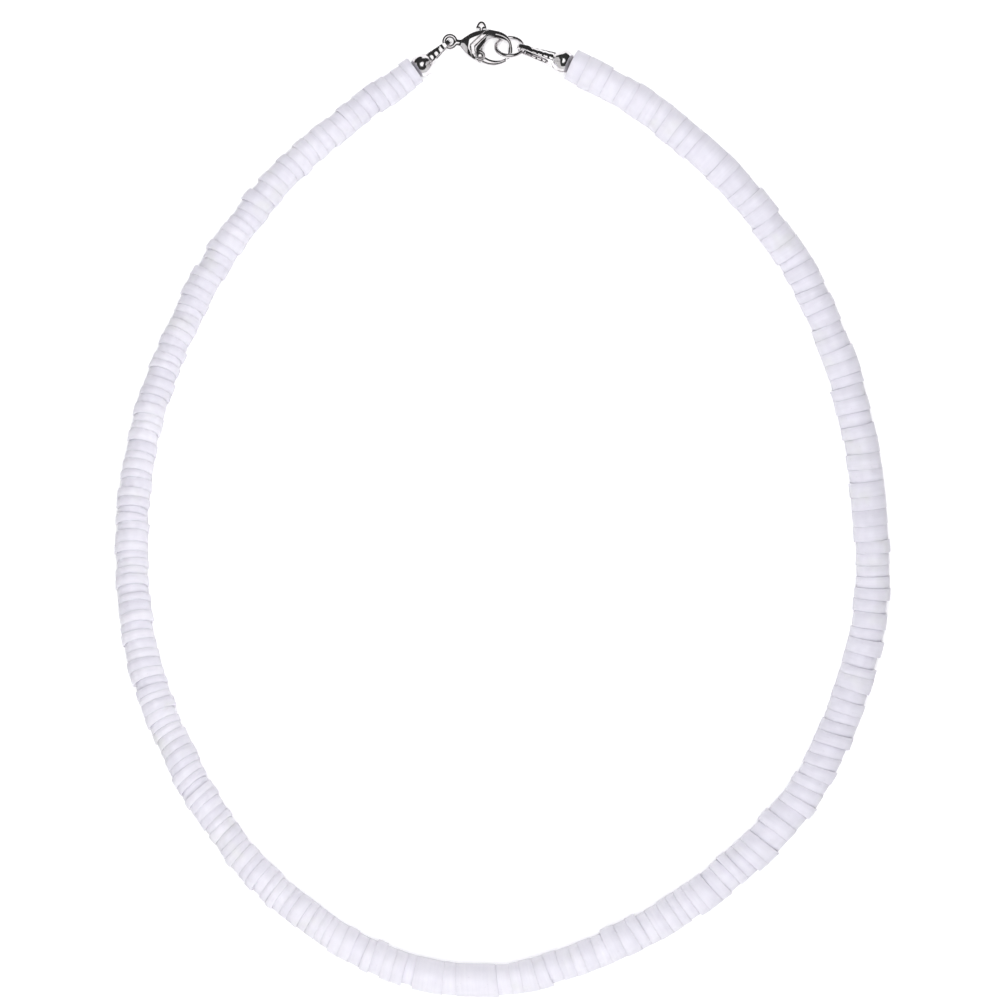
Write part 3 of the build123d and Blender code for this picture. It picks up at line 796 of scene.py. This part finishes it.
def arch_and_rib(piece, end_bead, arch_height):
    """Bends the strip's edges down and raises ribs across it, between its cup and its loop."""
    points = np.array([v.co[:] for v in piece.data.vertices])
    normals = np.array([v.normal[:] for v in piece.data.vertices])
    nearest = np.argsort(np.linalg.norm(points - np.array(end_bead["centre"]), axis=1))
    cup = points[nearest[:len(points) // CUP_PART]].mean(axis=0)
    away = np.linalg.norm(points - cup, axis=1)
    on_strip = away > CUP_RADIUS + STRIP_FROM
    on_top = on_strip & (normals[:, 2] > FACING_UP)
    upright = normals[on_top].mean(axis=0)
    upright /= np.linalg.norm(upright)
    middle = points[on_top].mean(axis=0)
    onwards = middle - cup
    onwards -= upright * onwards.dot(upright)
    onwards /= np.linalg.norm(onwards)
    across = (points - middle) @ np.cross(upright, onwards)
    share = np.interp(away - CUP_RADIUS, (RIBS_FROM, RIBS_FULL), (0, 1))
    wave = (-1 - np.cos(math.tau * away / RIB_PITCH)) / 2     # 0 on a rib, -1 between two
    level = np.interp(np.abs(normals @ upright), RIBBED, (0, 1))
    bent = np.clip(np.abs(across) / STRIP_HALF_WIDTH, 0, 1) ** 2
    clear = np.clip((away.max() - LOOP_REACH - away) / MM, 0, 1)
    points -= upright * (share * clear * bent * arch_height)[:, None]
    points += normals * (share * wave * level * RIB_HEIGHT)[:, None]
    piece.data.vertices.foreach_set("co", points.astype(np.float32).ravel())
    piece.data.update()
    print(piece.name, "faces", np.round(upright, 2), "along", np.round(onwards, 2))


for node, (end_bead, arch_height) in ARCHES.items():
    arch_and_rib(metal[node], end_bead, arch_height)

# %% [markdown]
# ## Plated metal
# The clasp and its fittings are brass with a bright nickel-silver plating, polished in a
# barrel. A plated surface is a mirror with a faint haze and fine random scratches, and the
# plating looks a touch warmer or greyer in places. A metal's base colour is its reflection,
# so it is light, and the dark parts are the dark of the room that it mirrors.

# %% Plated material
HAZE = 1.5          # mm across a hazier patch
SCRATCH = 0.12      # mm between fine scratches, drawn coarser than real ones so that they show


def plated_material():
    material = bpy.data.materials.new("barrel_polished_plating")
    material.use_nodes = True
    tree = material.node_tree
    shader = tree.nodes["Principled BSDF"]
    place = add(tree, "ShaderNodeTexCoord").outputs["Object"]
    haze = add(tree, "ShaderNodeTexNoise", {
        "Vector": place, "Scale": 1 / HAZE / MM, "Detail": 4.0, "Roughness": 0.6})
    fine = add(tree, "ShaderNodeTexNoise", {
        "Vector": place, "Scale": 1 / SCRATCH / MM, "Detail": 2.0, "Roughness": 0.5})
    colour = add(tree, "ShaderNodeValToRGB", {"Fac": haze})
    colour.color_ramp.elements[0].position = 0.35
    colour.color_ramp.elements[0].color = linear("#C9C5C6")
    colour.color_ramp.elements[1].position = 0.65
    colour.color_ramp.elements[1].color = linear("#E6E4E6")
    tree.links.new(colour.outputs["Color"], shader.inputs["Base Color"])
    rough = add(tree, "ShaderNodeMapRange", {
        "Value": haze, "From Min": 0.3, "From Max": 0.7, "To Min": 0.07, "To Max": 0.14})
    tree.links.new(rough.outputs["Result"], shader.inputs["Roughness"])
    shader.inputs["Metallic"].default_value = 1.0
    bump = add(tree, "ShaderNodeBump", {"Height": fine, "Strength": 0.12, "Distance": 0.02 * MM})
    tree.links.new(bump.outputs["Normal"], shader.inputs["Normal"])
    return material


plating = plated_material()
for node, (_, _, _, body) in METAL_PIECES.items():
    piece = metal[node]
    piece.data.materials.clear()
    piece.data.materials.append(plating)
    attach(piece, body)
    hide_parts(node)
print("plated pieces:", len(metal))

# %% [markdown]
# ## Beading thread
# The thread shows only between beads and inside the cups. It is a twisted multifilament, so
# it gets a soft, finely streaked weave of warm grey with a dull surface.

# %% Thread material
FILAMENT = 0.15     # mm between streaks, drawn coarser than its real filaments so that they show


def thread_material():
    material = bpy.data.materials.new("twisted_beading_thread")
    material.use_nodes = True
    tree = material.node_tree
    shader = tree.nodes["Principled BSDF"]
    place = add(tree, "ShaderNodeTexCoord").outputs["Object"]
    streaks = add(tree, "ShaderNodeTexNoise", {
        "Vector": place, "Scale": 1 / FILAMENT / MM, "Detail": 3.0, "Roughness": 0.6})
    colour = add(tree, "ShaderNodeValToRGB", {"Fac": streaks})
    colour.color_ramp.elements[0].position = 0.3
    colour.color_ramp.elements[0].color = linear("#B6B2B4")
    colour.color_ramp.elements[1].position = 0.7
    colour.color_ramp.elements[1].color = linear("#DEDBDC")
    tree.links.new(colour.outputs["Color"], shader.inputs["Base Color"])
    shader.inputs["Roughness"].default_value = 0.8
    bump = add(tree, "ShaderNodeBump", {"Height": streaks, "Strength": 0.4, "Distance": 0.05 * MM})
    tree.links.new(bump.outputs["Normal"], shader.inputs["Normal"])
    return material


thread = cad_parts["thread"]
thread.data.materials.clear()
thread.data.materials.append(thread_material())
print("thread:", len(thread.data.polygons), "faces, material", thread.data.materials[0].name)

# %% [markdown]
# ## Floor, light and camera
# The necklace lies on plain white paper and is seen from straight above. A long softbox hangs
# over it, narrower than the loop, so the outer side of each half falls a little darker than
# the inner side. Polished metal shows the room instead: a pale ceiling, dark upper walls, and
# white cards low down on all sides but the far one. That draws the black far edges and the
# bright near ones. The camera is high with a long lens, so that widths stay true.

# %% Floor
FIBRE = 4           # mm across a paler or greyer patch of the paper
FLOOR_REACH = 1.5   # metres from the middle to each side


def pale_floor():
    paper = bpy.data.materials.new("matt_white_paper")
    paper.use_nodes = True
    tree = paper.node_tree
    place = add(tree, "ShaderNodeTexCoord").outputs["Object"]
    fibre = add(tree, "ShaderNodeTexNoise", {"Vector": place, "Scale": 1 / FIBRE / MM, "Detail": 2.0})
    tint = add(tree, "ShaderNodeValToRGB", {"Fac": fibre})
    tint.color_ramp.elements[0].color = linear("#F7F7F8")
    tint.color_ramp.elements[1].color = linear("#FAFAFB")
    shader = tree.nodes["Principled BSDF"]
    tree.links.new(tint.outputs["Color"], shader.inputs["Base Color"])
    shader.inputs["Roughness"].default_value = 0.9
    shader.inputs["Emission Color"].default_value = linear("#FFFFFF")
    shader.inputs["Emission Strength"].default_value = 0.12
    mesh = bpy.data.meshes.new("paper_floor")
    corners = [(x * FLOOR_REACH, y * FLOOR_REACH, 0) for x, y in ((-1, -1), (1, -1), (1, 1), (-1, 1))]
    mesh.from_pydata(corners, [], [(0, 1, 2, 3)])
    mesh.materials.append(paper)
    floor = bpy.data.objects.new("paper_floor", mesh)
    bpy.context.scene.collection.objects.link(floor)
    floor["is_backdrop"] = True


pale_floor()
print("floor", 2 * FLOOR_REACH, "m a side")

# %% Softbox
LAMP_HEIGHT = 0.35


def soft_light(name, place, aim, width, height, watts):
    data = bpy.data.lights.new(name, "AREA")
    data.shape = "RECTANGLE"
    data.size, data.size_y, data.energy = width, height, watts
    light = bpy.data.objects.new(name, data)
    light.location = place
    light.rotation_euler = (Vector(aim) - Vector(place)).to_track_quat("-Z", "Y").to_euler()
    light.visible_camera = light.visible_glossy = False
    bpy.context.scene.collection.objects.link(light)


soft_light("overhead_softbox", (0.0, 0.0, LAMP_HEIGHT), (0.0, 0.0, 0.0), width=0.22, height=0.9, watts=2.62)
print("softbox at", LAMP_HEIGHT, "m")

# %% Room
DARK_WALLS = 0.04
GLOWS = {
    # name: (which share of the direction, nothing at, full at, strength)
    "ceiling": ("Z", 0.90, 0.96, 1.4),
    "low": ("Z", 0.58, 0.48, 0.8),
    "not_far": ("Y", 0.35, 0.05, 1.0),
}
world = bpy.data.worlds.new("pale_room")
bpy.context.scene.world = world
world.use_nodes = True
room = world.node_tree
outlook = add(room, "ShaderNodeTexCoord").outputs["Generated"]
heading = add(room, "ShaderNodeSeparateXYZ", {0: outlook}).outputs
glow = {}
for name, (direction, nothing_at, full_at, most) in GLOWS.items():
    glow[name] = add(room, "ShaderNodeMapRange", {
        "Value": heading[direction], "From Min": nothing_at, "From Max": full_at, "To Min": 0.0,
        "To Max": most}, interpolation_type="SMOOTHSTEP")
cards = add(room, "ShaderNodeMath", {0: glow["low"], 1: glow["not_far"]}, operation="MULTIPLY")
lit = add(room, "ShaderNodeMath", {0: glow["ceiling"], 1: cards}, operation="ADD")
strength = add(room, "ShaderNodeMath", {0: lit, 1: DARK_WALLS}, operation="ADD")
seen = add(room, "ShaderNodeLightPath").outputs["Is Camera Ray"]
shown = add(room, "ShaderNodeMix", {0: seen, 2: strength, 3: 1.0})
room.links.new(shown.outputs[0], room.nodes["Background"].inputs["Strength"])
room.nodes["Background"].inputs["Color"].default_value = linear("#FFFFFF")
print("room:", len(room.nodes), "nodes")

# %% Camera
FRAME_WIDTH = 175 * MM     # what a picture of 1000 pixels spans at the beads
LENS = 100
SEEN_MIDDLE = (-0.41 * MM, 1.61 * MM)
BEAD_MIDDLE = 3.0 * MM     # height of a bead's widest line over the floor
NEAR_AND_FAR = (0.01, 10)
camera_data = bpy.data.cameras.new("straight_down")
camera_data.lens = LENS
camera_data.clip_start, camera_data.clip_end = NEAR_AND_FAR
camera = bpy.data.objects.new("straight_down", camera_data)
rise = FRAME_WIDTH * LENS / camera_data.sensor_width
camera.location = (*SEEN_MIDDLE, rise + BEAD_MIDDLE)
bpy.context.scene.collection.objects.link(camera)
bpy.context.scene.camera = camera
bpy.context.scene.view_settings.view_transform = "Standard"
print(f"camera {camera.location.z:.3f} m up")

# %% Sizes before and after dressing, and the end
dressed_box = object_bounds()
print("sizes in mm:", [[round(v / MM, 2) for v in c] for c in (*cad_box, *dressed_box)])
